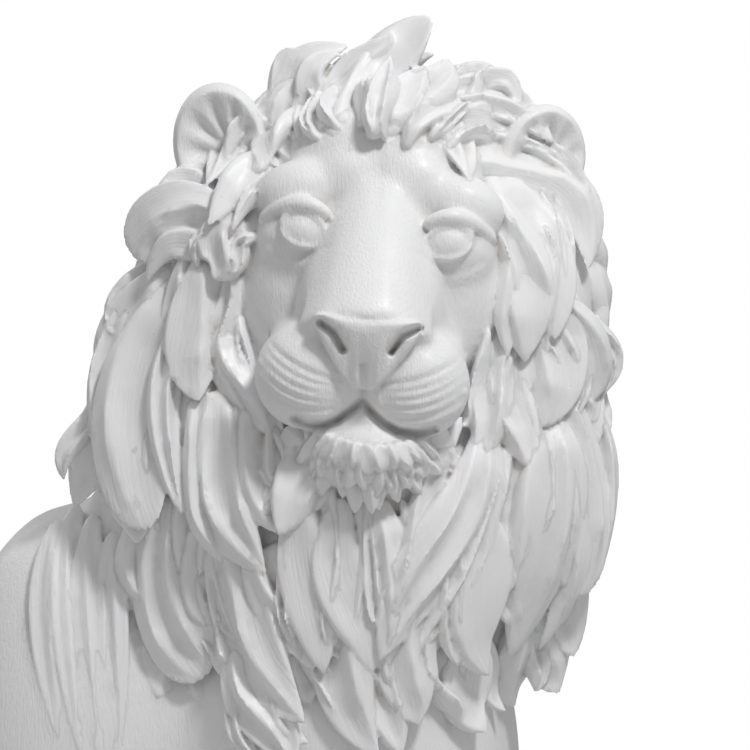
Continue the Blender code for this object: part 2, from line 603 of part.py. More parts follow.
def cut_flat(bm):
    """Saws the cast off level, so that it stands on its underside."""
    geometry = bm.verts[:] + bm.edges[:] + bm.faces[:]
    plane = {"plane_co": (0, 0, 0), "plane_no": (0, 0, 1)}
    cut = bmesh.ops.bisect_plane(bm, geom=geometry, clear_inner=True, **plane)
    edges = [item for item in cut["geom_cut"] if isinstance(item, bmesh.types.BMEdge)]
    bmesh.ops.triangle_fill(bm, edges=edges, use_beauty=True, normal=(0, 0, -1))


def resin_material():
    """White paint over cast resin."""
    material = bpy.data.materials.new("white_resin")
    material.use_nodes = True
    shader = material.node_tree.nodes["Principled BSDF"]
    shader.inputs["Base Color"].default_value = WHITE_RESIN
    shader.inputs["Roughness"].default_value = PAINT_ROUGHNESS
    shader.inputs["Metallic"].default_value = 0.0
    return material


def lion_bust():
    """Models the whole cast and returns its object."""
    chance = random.Random(7)
    bm = base_form()
    surface = BVHTree.FromBMesh(bm)
    bm = face_form(bm)
    nose_lump(bm)
    for side in (-1, 1):
        eye(bm, side)
    for centre, radii, turn in EARS:
        ear(bm, centre, radii, turn)
    mane(bm, surface, chance)
    beard(bm, chance)
    bm = fused(bm, GRAIN / SHARE, 1)
    largest_body(bm)
    mesh = bpy.data.meshes.new("lion_bust")
    bm.to_mesh(mesh)
    bm.free()
    pressed(mesh)
    mesh.transform(Matrix.Scale(SHARE, 4))
    cast = bpy.data.objects.new("lion_bust", mesh)
    bpy.context.collection.objects.link(cast)
    return cast


def face_points(cast):
    """The points of the face, which keeps more of its facets than the mane."""
    half_width, foot, top = FACE_REACH
    to_head = HEAD.inverted()
    inside = []
    for vert in cast.data.vertices:
        across, deep, up = to_head @ (vert.co / SHARE)
        if abs(across) < half_width and foot < up < top and deep < STROKE_FRONT:
            inside.append(vert.index)
    return inside


def reduced(cast):
    """Keeps the facets that carry the form, then saws the base level."""
    spare = cast.vertex_groups.new(name="spare")
    spare.add(list(range(len(cast.data.vertices))), 1.0, "REPLACE")
    spare.add(face_points(cast), FACE_SPARE, "REPLACE")
    thin = cast.modifiers.new("thin", "DECIMATE")
    thin.vertex_group = spare.name
    thin.ratio = FACETS / (2 * len(cast.data.polygons))
    thin.use_collapse_triangulate = True
    bpy.context.view_layer.update()
    evaluated = cast.evaluated_get(bpy.context.evaluated_depsgraph_get())
    mesh = bpy.data.meshes.new_from_object(evaluated)
    cast.modifiers.clear()
    cast.data = mesh
    bm = bmesh.new()
    bm.from_mesh(mesh)
    cut_flat(bm)
    bm.to_mesh(mesh)
    bm.free()
    mesh.materials.append(resin_material())
    mesh.shade_smooth()
    mesh.set_sharp_from_angle(angle=math.radians(50))


def main():
    for old in list(bpy.data.objects):
        bpy.data.objects.remove(old)
    reduced(lion_bust())


main()
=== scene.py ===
"""Looks of the white resin lion bust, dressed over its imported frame."""

import bisect
import math
import random

import bmesh
import bpy
import numpy as np
from mathutils import Euler, Matrix, Vector
from mathutils.bvhtree import BVHTree


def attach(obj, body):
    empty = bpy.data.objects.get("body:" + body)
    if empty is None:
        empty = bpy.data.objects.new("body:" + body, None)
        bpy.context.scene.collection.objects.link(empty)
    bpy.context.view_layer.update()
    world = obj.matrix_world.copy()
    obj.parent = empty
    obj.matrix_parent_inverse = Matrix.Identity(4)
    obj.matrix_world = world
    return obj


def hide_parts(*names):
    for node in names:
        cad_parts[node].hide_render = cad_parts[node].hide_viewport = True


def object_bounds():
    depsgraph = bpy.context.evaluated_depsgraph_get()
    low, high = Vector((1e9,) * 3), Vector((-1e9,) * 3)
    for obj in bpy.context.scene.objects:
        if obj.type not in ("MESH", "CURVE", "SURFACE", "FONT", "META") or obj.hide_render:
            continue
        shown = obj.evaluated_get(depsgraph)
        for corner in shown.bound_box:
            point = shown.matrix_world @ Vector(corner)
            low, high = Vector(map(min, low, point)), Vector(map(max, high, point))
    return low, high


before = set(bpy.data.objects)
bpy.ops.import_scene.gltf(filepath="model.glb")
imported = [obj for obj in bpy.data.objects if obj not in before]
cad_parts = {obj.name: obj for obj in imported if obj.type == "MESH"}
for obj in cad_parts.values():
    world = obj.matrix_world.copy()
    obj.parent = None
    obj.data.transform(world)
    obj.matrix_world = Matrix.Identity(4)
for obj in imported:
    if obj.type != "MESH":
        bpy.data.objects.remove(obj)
cad_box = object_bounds()

# Metres: the cast's height, the grain of its modelled surface, how far a lock stands up
HEIGHT = 0.600
GRAIN = 0.0014
LOCK_RISE = 0.0130

# Facets kept on the finished surface
FACETS = 190000

SHARE = HEIGHT / 100
RISE = LOCK_RISE / SHARE

# The head leans and turns a little on the neck. Its own axes start inside the skull,
# a little below the eyes.
HEAD_CENTRE = (0.0, 0.0, 66.0)
HEAD_LEAN = 5.2
HEAD_YAW = -2.0
HEAD = Matrix.Translation(HEAD_CENTRE) @ Euler(
    (0, math.radians(HEAD_LEAN), math.radians(HEAD_YAW))
).to_matrix().to_4x4()
WORLD = Matrix.Identity(4)

# Chest and shoulders, then neck and mane bulk, as centre, radii and turn in degrees
BODY_FORMS = {
    "trunk": ((-26, 25, 0), (33, 20, 37), (0, 0, -38)),
    "near_shoulder": ((-38, 14, 4), (19, 17, 36), (0, 0, 0)),
    "far_shoulder": ((5, 17, 2), (15, 16, 29), (0, 0, 0)),
    "chest": ((-4, 6, 4), (21, 16, 34), (0, 0, 0)),
}
MANE_FORMS = {
    "mane_core": ((-1, 8, 56), (23.5, 15, 29), (0, 0, 0)),
    "mane_crown": ((0, 8, 74), (18.5, 12, 15.5), (0, 0, 0)),
    "chest_mane": ((-1, 1, 33), (18.5, 12, 22), (0, 0, 0)),
    "left_drape": ((-20.5, 8, 44), (15, 12.5, 22), (0, 8, 0)),
    "right_drape": ((15.5, 6, 42), (12.5, 11.5, 20), (0, -6, 0)),
    "left_temple": ((-19, 6, 66), (10.5, 9.5, 13), (0, 0, 0)),
    "right_temple": ((18.5, 5, 63), (9.5, 9.5, 14), (0, 0, 0)),
    "nape": ((-8, 19, 50), (21, 15, 30), (0, 0, 0)),
    "right_throat": ((13.5, 0, 45.5), (5.5, 5, 9), (0, 0, 0)),
    "under_chin": ((2, -4, 41), (9, 7, 8), (0, 0, 0)),
    "ear_root": ((-17, 0, 73), (5, 4.5, 6), (0, 0, 0)),
    "temple_root": ((-14.5, -1.5, 73), (3.5, 5, 5), (0, 0, 0)),
}

# The skull and the soft forms of the face, in the head's own axes
SKULL_FORMS = {
    "cranium": ((0, 5, 8), (15.5, 14.5, 15.5), (0, 0, 0)),
    "forehead": ((0, -1.2, 13.5), (13, 8.0, 9.5), (0, 0, 0)),
    "cheek": ((10.6, -1.5, -1), (6.5, 7.2, 10.5), (0, 0, 0)),
    "muzzle": ((0, -6.5, -8), (10.0, 11.5, 9.5), (0, 0, 0)),
    "jaw": ((1.2, -5, -17), (9, 10, 9), (0, 0, 0)),
}
FACE_FORMS = {
    "pad": ((6.4, -12.4, -12.2), (6.8, 5.6, 6.8), (0, 0, 0)),
    "pad_root": ((6.8, -8.6, -10.4), (5.8, 6.4, 5.8), (0, 0, 0)),
    "orbit": ((9.2, -6.6, 4.4), (5.6, 4.1, 5.6), (0, 0, 0)),
    "frontal": ((3.9, -7.0, 12.2), (4.4, 2.8, 4.4), (0, 0, 0)),
    "nose_side": ((4.6, -9.6, -3.6), (4.4, 6.2, 7.6), (0, 0, 0)),
    "brow": ((9.8, -6.5, 10.0), (5.8, 3.7, 4.2), (0, 14, 0)),
    "chin": ((1.4, -11.6, -21.6), (7.0, 5.2, 4.6), (0, 0, 0)),
    "cheekbone": ((10.4, -3.6, -0.6), (5.4, 5.4, 7.6), (0, 0, 0)),
}
# The right eye's middle, the eyeball's radii and those of the opening between the lids
EYE = (9.0, -8.5, 5.2)
EYE_RADII = (3.5, 3.1, 3.1)
LID_RADII = (2.6, 1.85)

# The lump that the nose is cut from: its middle, half widths at top and foot, half height
NOSE_LUMP = (0.3, -17.6, -8.6)
NOSE_LUMP_WIDTHS = (7.7, 1.4)
NOSE_LUMP_HEIGHT = 4.8

# Strokes pressed into the face: points across and up the head's front, radius, depth
STROKES = {
    "philtrum": (((0.2, -10.4), (0.3, -15.2)), 0.8, 0.7),
    "mouth_left": (
        ((0.3, -14.9), (-1.0, -16.1), (-2.5, -17.3), (-4.2, -18.1), (-6.0, -18.2), (-7.6, -17.6)), 0.9, 2.2,
    ),
    "mouth_right": (
        ((0.3, -14.9), (1.5, -16.0), (3.1, -17.2), (5.0, -18.0), (7.2, -18.1), (9.2, -17.4)), 0.9, 2.2,
    ),
    "nostril_left": (((-5.3, -5.9), (-3.7, -6.9), (-2.4, -8.8)), 0.75, 2.0),
    "nostril_right": (((6.4, -5.5), (4.6, -6.6), (3.4, -8.6)), 0.75, 2.0),
    "brow_crease": (((-0.2, 8.0), (-0.2, 16.0)), 0.9, 0.12),
}
# What lies in front of this, and within these half sizes, is the face that strokes are pressed into
STROKE_FRONT = -7.0
FACE_HALF_WIDTH = 18
FACE_HALF_HEIGHT = 26

# The nose's front is cut to one plane below a crisp edge: the edge's middle, how far it climbs
# to its corners, the foot, half widths at edge and foot, how far forward the edge stands and
# how fast the plane falls back below it
NOSE_EDGE = (0.3, -5.8)
NOSE_CORNER_RISE = 2.5
NOSE_FOOT = -15.2
NOSE_HALF_WIDTHS = (9.2, 0.8)
NOSE_SOFT_SIDE = 1.2
NOSE_REACH = -20.9
NOSE_FALL = 0.46

# Where the ears stand, their radii and turn: the left one faces us, the right one turns away
EARS = (
    ((-19.3, 1.5, 83.2), (6.1, 2.8, 7.9), (6, -6, -8)),
    ((21.0, 2.5, 81.6), (6.0, 2.8, 6.9), (6, 10, 26)),
)

# How far out the cup of an ear reaches, and how many folds fan out in it and how high
EAR_CUP = 0.86
EAR_FOLDS = 11
EAR_FOLD = 0.13

# Locks listed one by one as seen from the front: root, middle and tip as (across, up), width, lift
FRONT_LOCKS = {
    "crest": ((-5.0, 83.5), (0.0, 91.2), (6.9, 96.6), 6.6, 0.6),
    "crest_back": ((-11.0, 84.0), (-9.2, 90.0), (-2.6, 94.0), 6.4, 0.0),
    "crest_side": ((1.3, 83.5), (5.0, 88.1), (8.3, 92.3), 6.5, 0.4),
    "crest_small": ((6.9, 86.0), (10.4, 89.8), (13.8, 91.6), 4.6, 0.2),
    "forelock": ((0.2, 82.8), (0.4, 87.0), (1.8, 92.0), 3.0, 1.2),
    "temple_tuft": ((-13.2, 81.6), (-12.2, 86.0), (-8.8, 90.0), 5.6, 0.2),
    "temple_curl": ((-5.6, 84.6), (-7.3, 87.8), (-3.8, 91.4), 4.4, 0.4),
    "ear_flap": ((-8.6, 79.6), (-14.4, 82.4), (-19.6, 75.4), 5.4, 2.2),
    "ear_flap_low": ((-11.2, 77.6), (-15.4, 78.0), (-19.6, 72.0), 4.8, 1.6),
    "brow_tuft_a": ((-8.4, 83.2), (-9.6, 86.4), (-8.0, 90.4), 4.4, 0.0),
    "brow_tuft_b": ((-3.4, 85.2), (-3.0, 88.6), (-0.6, 92.2), 4.4, 0.0),
    "brow_tuft_c": ((2.4, 84.4), (3.8, 88.0), (5.8, 91.6), 4.6, 0.0),
    "brow_tuft_d": ((5.2, 84.4), (7.8, 87.4), (11.0, 89.2), 4.4, 0.0),
    "brow_tuft_e": ((8.0, 83.4), (11.4, 85.6), (15.4, 85.6), 4.0, 0.0),
    "right_sweep": ((4.8, 86.4), (13.1, 88.2), (20.8, 82.0), 5.4, 0.8),
    "right_sweep_low": ((7.6, 84.6), (13.6, 85.2), (20.2, 81.0), 4.8, 0.8),
    "right_fall": ((9.0, 82.0), (21.3, 77.4), (24.9, 66.4), 7.2, 0.8),
    "right_fall_top": ((9.6, 83.6), (18.4, 81.2), (24.6, 73.1), 5.6, 0.4),
    "right_cheek": ((12.9, 80.0), (19.6, 70.0), (21.6, 58.6), 7.6, 0.8),
    "right_cheek_in": ((16.4, 74.4), (18.7, 65.0), (18.2, 56.2), 6.0, 0.8),
    "right_jaw": ((15.8, 60.0), (14.2, 51.3), (11.6, 43.0), 4.6, 1.0),
    "right_jaw_out": ((16.4, 58.4), (16.5, 50.0), (18.8, 42.6), 5.2, 0.6),
    "right_leaf": ((23.1, 64.0), (22.1, 56.3), (19.8, 47.6), 6.6, 1.2),
    "right_lobe": ((20.4, 64.2), (24.4, 58.5), (24.2, 51.0), 7.4, 0.6),
    "right_lobe_low": ((21.4, 56.3), (24.2, 51.6), (25.2, 48.2), 5.0, 0.2),
    "right_outer": ((21.6, 53.4), (24.9, 41.3), (23.6, 27.2), 7.6, 0.8),
    "right_big": ((21.6, 49.0), (20.8, 36.3), (15.4, 20.2), 8.6, 1.2),
    "right_inner": ((11.6, 39.5), (11.8, 27.5), (12.8, 17.8), 7.0, 0.6),
    "right_throat": ((13.4, 48.0), (8.0, 33.5), (0.3, 20.0), 7.6, 0.6),
    "right_claw": ((7.2, 30.0), (3.4, 20.0), (4.9, 11.6), 6.6, 0.8),
    "right_low": ((8.8, 23.0), (10.6, 16.3), (12.9, 10.2), 6.4, 0.2),
    "right_back": ((22.5, 34.0), (21.8, 28.4), (19.4, 23.6), 5.6, 0.0),
    "right_back_low": ((18.1, 28.0), (17.7, 20.0), (16.2, 12.0), 6.0, 0.0),
    "throat_left": ((-3.8, 39.5), (-3.2, 27.5), (-0.4, 18.6), 6.0, 0.2),
    "throat_mid": ((0.4, 39.5), (1.4, 28.0), (0.6, 18.6), 5.6, 0.0),
    "breast_left": ((-5.6, 31.5), (-4.0, 20.0), (0.4, 7.6), 7.0, 0.2),
    "breast_right": ((1.3, 24.5), (0.2, 16.3), (3.1, 8.0), 6.4, 0.0),
    "left_knob": ((-15.6, 72.6), (-18.2, 70.4), (-19.6, 66.2), 5.6, 1.0),
    "left_ear_back": ((-17.8, 73.0), (-23.8, 73.6), (-28.9, 68.6), 8.4, 0.4),
    "left_cheek": ((-20.0, 70.4), (-21.6, 60.0), (-21.4, 50.6), 7.0, 1.0),
    "left_big": ((-23.6, 66.0), (-29.6, 51.5), (-27.1, 35.2), 8.4, 1.0),
    "left_jaw": ((-18.2, 61.5), (-17.0, 54.0), (-12.8, 47.0), 4.6, 0.8),
    "left_outer": ((-25.0, 68.0), (-29.9, 60.5), (-31.2, 53.0), 6.6, 0.4),
    "left_outer_low": ((-30.4, 54.6), (-33.9, 46.3), (-36.4, 37.2), 6.6, 0.4),
    "left_scoop": ((-30.2, 48.5), (-30.4, 40.0), (-28.8, 33.8), 5.0, 0.4),
    "left_breast": ((-19.3, 52.5), (-18.8, 41.3), (-12.1, 30.2), 8.2, 1.2),
    "left_breast_in": ((-15.4, 52.0), (-14.3, 43.8), (-10.9, 34.8), 5.6, 1.0),
    "left_low": ((-24.6, 39.6), (-25.6, 27.5), (-19.9, 16.4), 8.6, 0.8),
    "left_sweep": ((-17.7, 37.0), (-14.6, 23.8), (-7.9, 11.6), 7.6, 1.0),
    "left_throat": ((-10.6, 48.0), (-8.7, 41.3), (-11.1, 34.6), 5.6, 0.8),
    "left_throat_low": ((-8.1, 41.0), (-8.1, 28.8), (-5.9, 18.2), 5.6, 0.4),
    "left_foot": ((-15.8, 22.0), (-14.0, 13.8), (-9.6, 6.2), 6.4, 0.0),
    "left_hook": ((-19.4, 26.5), (-18.0, 21.3), (-14.9, 16.2), 4.4, 0.4),
}
# Long strands that hang over the near shoulder: root, middle and tip as (across, up)
SHOULDER_STRANDS = (
    ((-39.9, 36.0), (-41.3, 25.0), (-39.3, 9.0)),
    ((-37.7, 38.0), (-38.5, 26.0), (-36.5, 7.0)),
    ((-35.3, 37.0), (-35.9, 25.0), (-34.1, 6.0)),
    ((-32.8, 35.0), (-33.1, 23.0), (-31.9, 5.0)),
)
STRAND_WIDTH = 4.4
# How much wider than listed a front lock is, the share of that for the two beside it, and how
# many facets go round a lock
FRONT_WIDTH = 1.16
SIDE_LOCK_WIDTH = 0.42
LOCK_SIDES = 36
# Locks at the outline are turned to show their broad side in front
TOWARDS_FRONT = Vector((0, -0.9, 0))
BLUNT_LOCKS = {
    "crest", "left_ear_back", "right_lobe", "right_lobe_low", "right_outer", "left_big",
    "left_outer", "left_low", "right_back",
}

# The mane out of the photograph's sight: rows round its centre, as elevation, fall, lock count
# and arc in degrees. Past its reach a lock sinks into the shoulder.
MANE_CENTRE = (-2.0, 10.0, 56.0)
BACK_ROWS = (
    (84, 40, 9, (20, 330)), (64, 36, 11, (70, 282)), (46, 34, 13, (74, 276)),
    (30, 34, 14, (76, 272)), (14, 34, 14, (76, 270)), (0, 34, 14, (76, 268)),
    (-14, 32, 14, (76, 268)), (-26, 24, 13, (78, 262)),
)
MANE_REACH = 31.0
BACK_WIDTH = 8.5
UNDER_ROWS = ((66, 14), (58, 15), (50, 15), (42, 15), (34, 15), (27, 13))
UNDER_SPAN = (-27.0, 25.0)
UNDER_STEP = 6.0

# How far out a line of sight starts. One that misses the form takes the form's nearest point to
# this depth behind the middle of the head, or to this reach from the mane's centre.
SIGHT_START = 90
MISSED_DEPTH = 2
MISSED_REACH = 20

# Whisker furrows on each muzzle pad, and the fold under each eye: count, radius and depth
WHISKER_ROWS = 5
WHISKER_RADIUS = 0.75
WHISKER_DEPTH = 0.34
EYE_FOLD_RADIUS = 0.8
EYE_FOLD_DEPTH = 0.2

# The cut lies a hair above the frame's underside
BASE_CUT = 0.01

# Rounds by which the depth of a fold is evened out over the skin, and the depth that counts as full
RECESS_SPREAD = 3
RECESS_FULL = 0.25

# The lamps' places, sizes and watts, and the strength of the fill from above and from below
LAMPS = {
    "key": ((0.75, -1.2, 2.05), 0.4, 27.0),
    "rim": ((-1.3, 1.0, 1.1), 0.6, 3.0),
}
LAMP_TARGET = (0, 0, 0.36)
FILL_FROM_ABOVE = 0.5
FILL_FROM_BELOW = 0.07

# The floor's half width, half depth, how far in front its middle lies, and its level
FLOOR_HALF_WIDTH = 1.4
FLOOR_HALF_DEPTH = 0.91
FLOOR_MIDDLE = -0.54
FLOOR_LEVEL = -0.0002

# The photograph's view: a level camera straight in front, 0.75 mm of the lion to a pixel
SENSOR_WIDTH = 36
VIEW_DISTANCE = 2.4
VIEW_HEIGHT = 54.4
VIEW_WIDTH = 0.5625


def add_lump(clay, lump):
    """Puts a finished lump in with the rest of the clay."""
    mesh = bpy.data.meshes.new("lump")
    lump.to_mesh(mesh)
    lump.free()
    clay.from_mesh(mesh)
    bpy.data.meshes.remove(mesh)


def ball(clay, centre, radii, turn, frame):
    """One smooth lump of clay."""
    angles = Euler([math.radians(angle) for angle in turn])
    place = frame @ Matrix.LocRotScale(Vector(centre), angles, Vector(radii))
    lump = bmesh.new()
    bmesh.ops.create_uvsphere(lump, u_segments=28, v_segments=18, radius=1, matrix=place)
    add_lump(clay, lump)


def pair(clay, centre, radii, turn, frame):
    """A lump and its twin across the middle of the face."""
    ball(clay, centre, radii, turn, frame)
    if centre[0] > 1.5:
        twin = (-centre[0], centre[1], centre[2])
        ball(clay, twin, radii, (turn[0], -turn[1], -turn[2]), frame)


def blade(clay, line, outward, shape, sides=18, crisp=1.0):
    """A closed blade along a line. shape(t, s) gives its half width, and its top and bottom at s."""
    rings = len(line) - 1
    lump = bmesh.new()
    bmesh.ops.create_uvsphere(lump, u_segments=sides, v_segments=rings, radius=1)
    for vert in lump.verts:
        ring = round(math.acos(max(-1.0, min(1.0, vert.co.z))) / math.pi * rings)
        centre, normal = line[ring], outward[ring]
        along = (line[min(ring + 1, rings)] - line[max(ring - 1, 0)]).normalized()
        across = along.cross(normal).normalized()
        normal = across.cross(along)
        round_radius = math.hypot(vert.co.x, vert.co.y)
        if round_radius < 1e-4:
            vert.co = centre
            continue
        side, up = vert.co.x / round_radius, vert.co.y / round_radius
        up = math.copysign(abs(up) ** crisp, up)
        half_width, top, bottom = shape(ring / rings, side)
        height = top * up if up > 0 else bottom * up
        vert.co = centre + across * (half_width * side) + normal * height
    add_lump(clay, lump)


def curve_through(root, middle, tip, count):
    """Points on the bow that starts at root, passes the middle and ends at the tip."""
    handle = [2 * m - (a + b) / 2 for a, m, b in zip(root, middle, tip)]
    points = []
    for step in range(count + 1):
        t = step / count
        first, second, third = (1 - t) ** 2, 2 * t * (1 - t), t * t
        points.append([first * a + second * h + third * b for a, h, b in zip(root, handle, tip)])
    return points


def bow_fit(values):
    """Evens out a run of vectors to the bow through its start, middle and end averages."""
    count = len(values) - 1
    third = max(1, count // 4)
    start = sum(values[: third + 1], Vector()) / (third + 1)
    end = sum(values[-third - 1 :], Vector()) / (third + 1)
    middle = values[count // 2]
    return [Vector(point) for point in curve_through(start, middle, end, count)]


def landed(surface, origin, direction, fallback):
    """Where a line of sight meets the form, and the way out of it there."""
    hit, normal, _, _ = surface.ray_cast(origin, direction)
    if hit is None:
        hit, normal, _, _ = surface.find_nearest(fallback)
    return hit, normal


def front_line(surface, root, middle, tip, rings, shift=0.0, sway=0.0):
    """A lock's line laid on the form as it is seen from the front, shifted sideways and swaying."""
    line, outward = [], []
    run = Vector((tip[0] - root[0], tip[1] - root[1])).normalized()
    for step, (across, up) in enumerate(curve_through(root, middle, tip, rings)):
        aside = shift + sway * math.sin(2 * math.pi * step / rings)
        across, up = across + run.y * aside, up - run.x * aside
        origin = Vector((across, -SIGHT_START, up))
        missed = Vector((across, MISSED_DEPTH, up))
        hit, normal = landed(surface, origin, Vector((0, 1, 0)), missed)
        line.append(Vector((across, hit.y, up)))
        outward.append((normal + TOWARDS_FRONT).normalized())
    depths = bow_fit([Vector((point.y, 0, 0)) for point in line])
    line = [Vector((point.x, depth.x, point.z)) for point, depth in zip(line, depths)]
    return line, [normal.normalized() for normal in bow_fit(outward)]


def round_line(surface, start, end, rings):
    """A lock's line laid on the form from one (azimuth, elevation) to another, in degrees."""
    line, outward = [], []
    centre = Vector(MANE_CENTRE)
    for step in range(rings + 1):
        t = step / rings
        azimuth = math.radians(start[0] + (end[0] - start[0]) * t)
        rise = math.radians(start[1] + (end[1] - start[1]) * t)
        level = Vector((math.sin(azimuth), -math.cos(azimuth), 0))
        away = level * math.cos(rise) + Vector((0, 0, math.sin(rise)))
        origin = centre + away * SIGHT_START
        hit, normal = landed(surface, origin, -away, centre + away * MISSED_REACH)
        if (hit - centre).length > MANE_REACH:
            hit = centre + away * MANE_REACH
        line.append(hit)
        outward.append(normal)
    return bow_fit(line), [normal.normalized() for normal in bow_fit(outward)]


def leaf(t, blunt):
    """A lock's width along its length, from a firm root to a drawn-out or a blunt tip."""
    widest = 0.42 + 0.25 * blunt
    if t < widest:
        return 0.3 + 0.7 * math.sin(t / widest * math.pi / 2)
    taper = max(0.0, 1 - ((t - widest) / (1 - widest)) ** (2.0 + 1.4 * blunt))
    return taper ** (0.9 - 0.4 * blunt)


def lock(clay, line, outward, width, lift, chance, depth=1.0, blunt=0.15):
    """One lock of the mane: scooped between sharp ridges, its tip clear of what lies below."""
    ridges = chance.choice((0.8, 1.2, 1.6, 2.0)) + (0.5 if width > 8.5 else 0.0)
    phase = chance.uniform(0.0, 1.0)
    roll = math.radians(chance.uniform(-22, 22))
    count = len(line) - 1
    raised, turned = [], []
    for step, (point, normal) in enumerate(zip(line, outward)):
        t = step / count
        along = (line[min(step + 1, count)] - line[max(step - 1, 0)]).normalized()
        raised.append(point + normal * (1.0 + lift * min(1.0, 0.3 + t) + 1.5 * depth * t * t))
        turned.append(Matrix.Rotation(roll * math.sin(math.pi * t), 3, along) @ normal)

    def shape(t, side):
        ends = min(1.0, (1.03 - t) * 3.0, 0.15 + 5 * t)
        thick = RISE * depth * (0.75 + 0.35 * math.sin(math.pi * t)) * ends
        swing = phase + 0.35 * t
        groove = abs(math.sin(math.pi * (ridges * side / 2 + swing))) ** 0.8
        scoop = 0.78 * min(1.0, 4.0 * t * (1.15 - t)) * groove
        crown = (1 - scoop) * (1 - 0.25 * side * side)
        return width / 2 * leaf(t, blunt), thick * crown, thick * 0.45 + 2.6 * (1 - t)

    mark_strands(clay, raised, turned)
    blade(clay, raised, turned, shape, sides=LOCK_SIDES, crisp=0.6)


def ring_about(centre, radii, count, start, end):
    """Points round an oval in the head's front plane, from one angle to another."""
    points = []
    for step in range(count + 1):
        angle = math.radians(start + (end - start) * step / count)
        points.append(centre + Vector((radii[0] * math.cos(angle), 0, radii[1] * math.sin(angle))))
    return points


def rope(clay, points, outward, radius, frame):
    """An even ridge with round ends, such as a lid."""
    placed = [frame @ point for point in points]
    normals = [(frame.to_3x3() @ outward).normalized()] * len(points)

    def shape(t, _):
        size = radius * (0.55 + 0.45 * math.sin(math.pi * t))
        return size, size, size

    blade(clay, placed, normals, shape, sides=10)


def nose_bridge(clay):
    """The broad flat plane from the brow down to the nose's leading edge."""
    top, middle, end = (0, -4.3, 12.1), (0, -11.0, 2.8), (0, -17.7, -8.4)
    line = [HEAD @ Vector(point) for point in curve_through(top, middle, end, 14)]
    outward = [(HEAD.to_3x3() @ Vector((0, -0.8, 0.6))).normalized()] * len(line)

    def shape(t, side):
        half = 6.8 + 1.6 * t ** 1.5
        return half, 4.5 * (1 - 0.95 * abs(side) ** (2.4 + 3.6 * t)), 4.0

    blade(clay, line, outward, shape, sides=20)


def nose_lump(clay):
    """The wedge that the front of the nose is cut from, narrow at the foot."""
    lump = bmesh.new()
    bmesh.ops.create_uvsphere(lump, u_segments=32, v_segments=24, radius=1)
    wide, narrow = NOSE_LUMP_WIDTHS
    for vert in lump.verts:
        x, y, z = [math.copysign(abs(value) ** 0.45, value) for value in vert.co]
        up = (z + 1) / 2
        across = x * (narrow + (wide - narrow) * up ** 0.8)
        deep = y * 3.6 + (1 - up) * 3.0
        high = z * NOSE_LUMP_HEIGHT - 1.0 * (1 - x * x) * up
        vert.co = HEAD @ (Vector(NOSE_LUMP) + Vector((across, deep, high)))
    add_lump(clay, lump)


def lid_line(side, start, end, raise_up):
    """A lid's edge: an arc over the front of the eyeball, its outer corner a little higher."""
    line = []
    for along, _, up in ring_about(Vector(), LID_RADII, 16, start, end):
        up += raise_up + 0.12 * along
        drop = 1 - (along / EYE_RADII[0]) ** 2 - (up / EYE_RADII[2]) ** 2
        front = EYE[1] - EYE_RADII[1] * math.sqrt(max(drop, 0.1))
        line.append(Vector((side * (EYE[0] + along), front, EYE[2] + up)))
    return line


def eye(clay, side):
    """Eyeball with its upper and lower lid and the hood of the brow."""
    ball(clay, (EYE[0] * side, EYE[1], EYE[2]), EYE_RADII, (0, 0, 0), HEAD)
    out = Vector((0, -1, 0))
    rope(clay, lid_line(side, -10, 190, 0.35), out, 0.6, HEAD)
    rope(clay, lid_line(side, 170, 370, 0.0), out, 0.42, HEAD)
    arch = curve_through((5.6, -10.2, 6.9), (9.8, -10.5, 8.4), (14.8, -7.2, 5.8), 14)
    rope(clay, [Vector((side * x, y, z)) for x, y, z in arch], out, 1.15, HEAD)


def beard(clay, chance):
    """Short tufts that fan down and out from the chin."""
    for row, (count, reach, out) in enumerate(((13, 8.6, 0.0), (12, 6.6, 1.2), (11, 4.6, 2.0))):
        for index in range(count):
            spread = -1 + 2 * (index + 0.5 * row) / (count - 1)
            angle = math.radians(54 * spread)
            bend = spread * spread
            root = Vector((1.6 + 5.2 * spread, -14.4 - out + 3.4 * bend, -19.6 + 1.2 * bend))
            angle += chance.uniform(-0.2, 0.2)
            fall = Vector((math.sin(angle) * 0.8, 0.12 + 0.5 * abs(spread), -math.cos(angle)))
            tip = root + fall * reach * chance.uniform(0.8, 1.1)
            middle = (root + tip) / 2 + Vector((chance.uniform(-0.3, 0.3), -0.7, 0))
            line = [HEAD @ Vector(point) for point in curve_through(root, middle, tip, 8)]
            normal = (HEAD.to_3x3() @ Vector((0.6 * spread, -1, 0.1))).normalized()
            width = chance.uniform(2.1, 3.3)
            lock(clay, line, [normal] * len(line), width, -0.6, chance, depth=0.6, blunt=0.15)


def ear(clay, centre, radii, turn):
    """A round cupped ear: a flat ball whose front is pressed in behind a thick rim."""
    angles = Euler([math.radians(angle) for angle in turn])
    place = Matrix.LocRotScale(Vector(centre), angles, Vector(radii))
    lump = bmesh.new()
    bmesh.ops.create_uvsphere(lump, u_segments=96, v_segments=64, radius=1)
    for vert in lump.verts:
        reach = math.hypot(vert.co.x, vert.co.z)
        if vert.co.y < 0 and reach < EAR_CUP:
            fan = math.atan2(vert.co.z + 0.15, vert.co.x - 0.2)
            fold = EAR_FOLD * math.sin(EAR_FOLDS * fan) * math.sin(math.pi * reach / EAR_CUP)
            vert.co.y += 1.15 * (1 - (reach / EAR_CUP) ** 2) + fold
        vert.co = place @ vert.co
    add_lump(clay, lump)


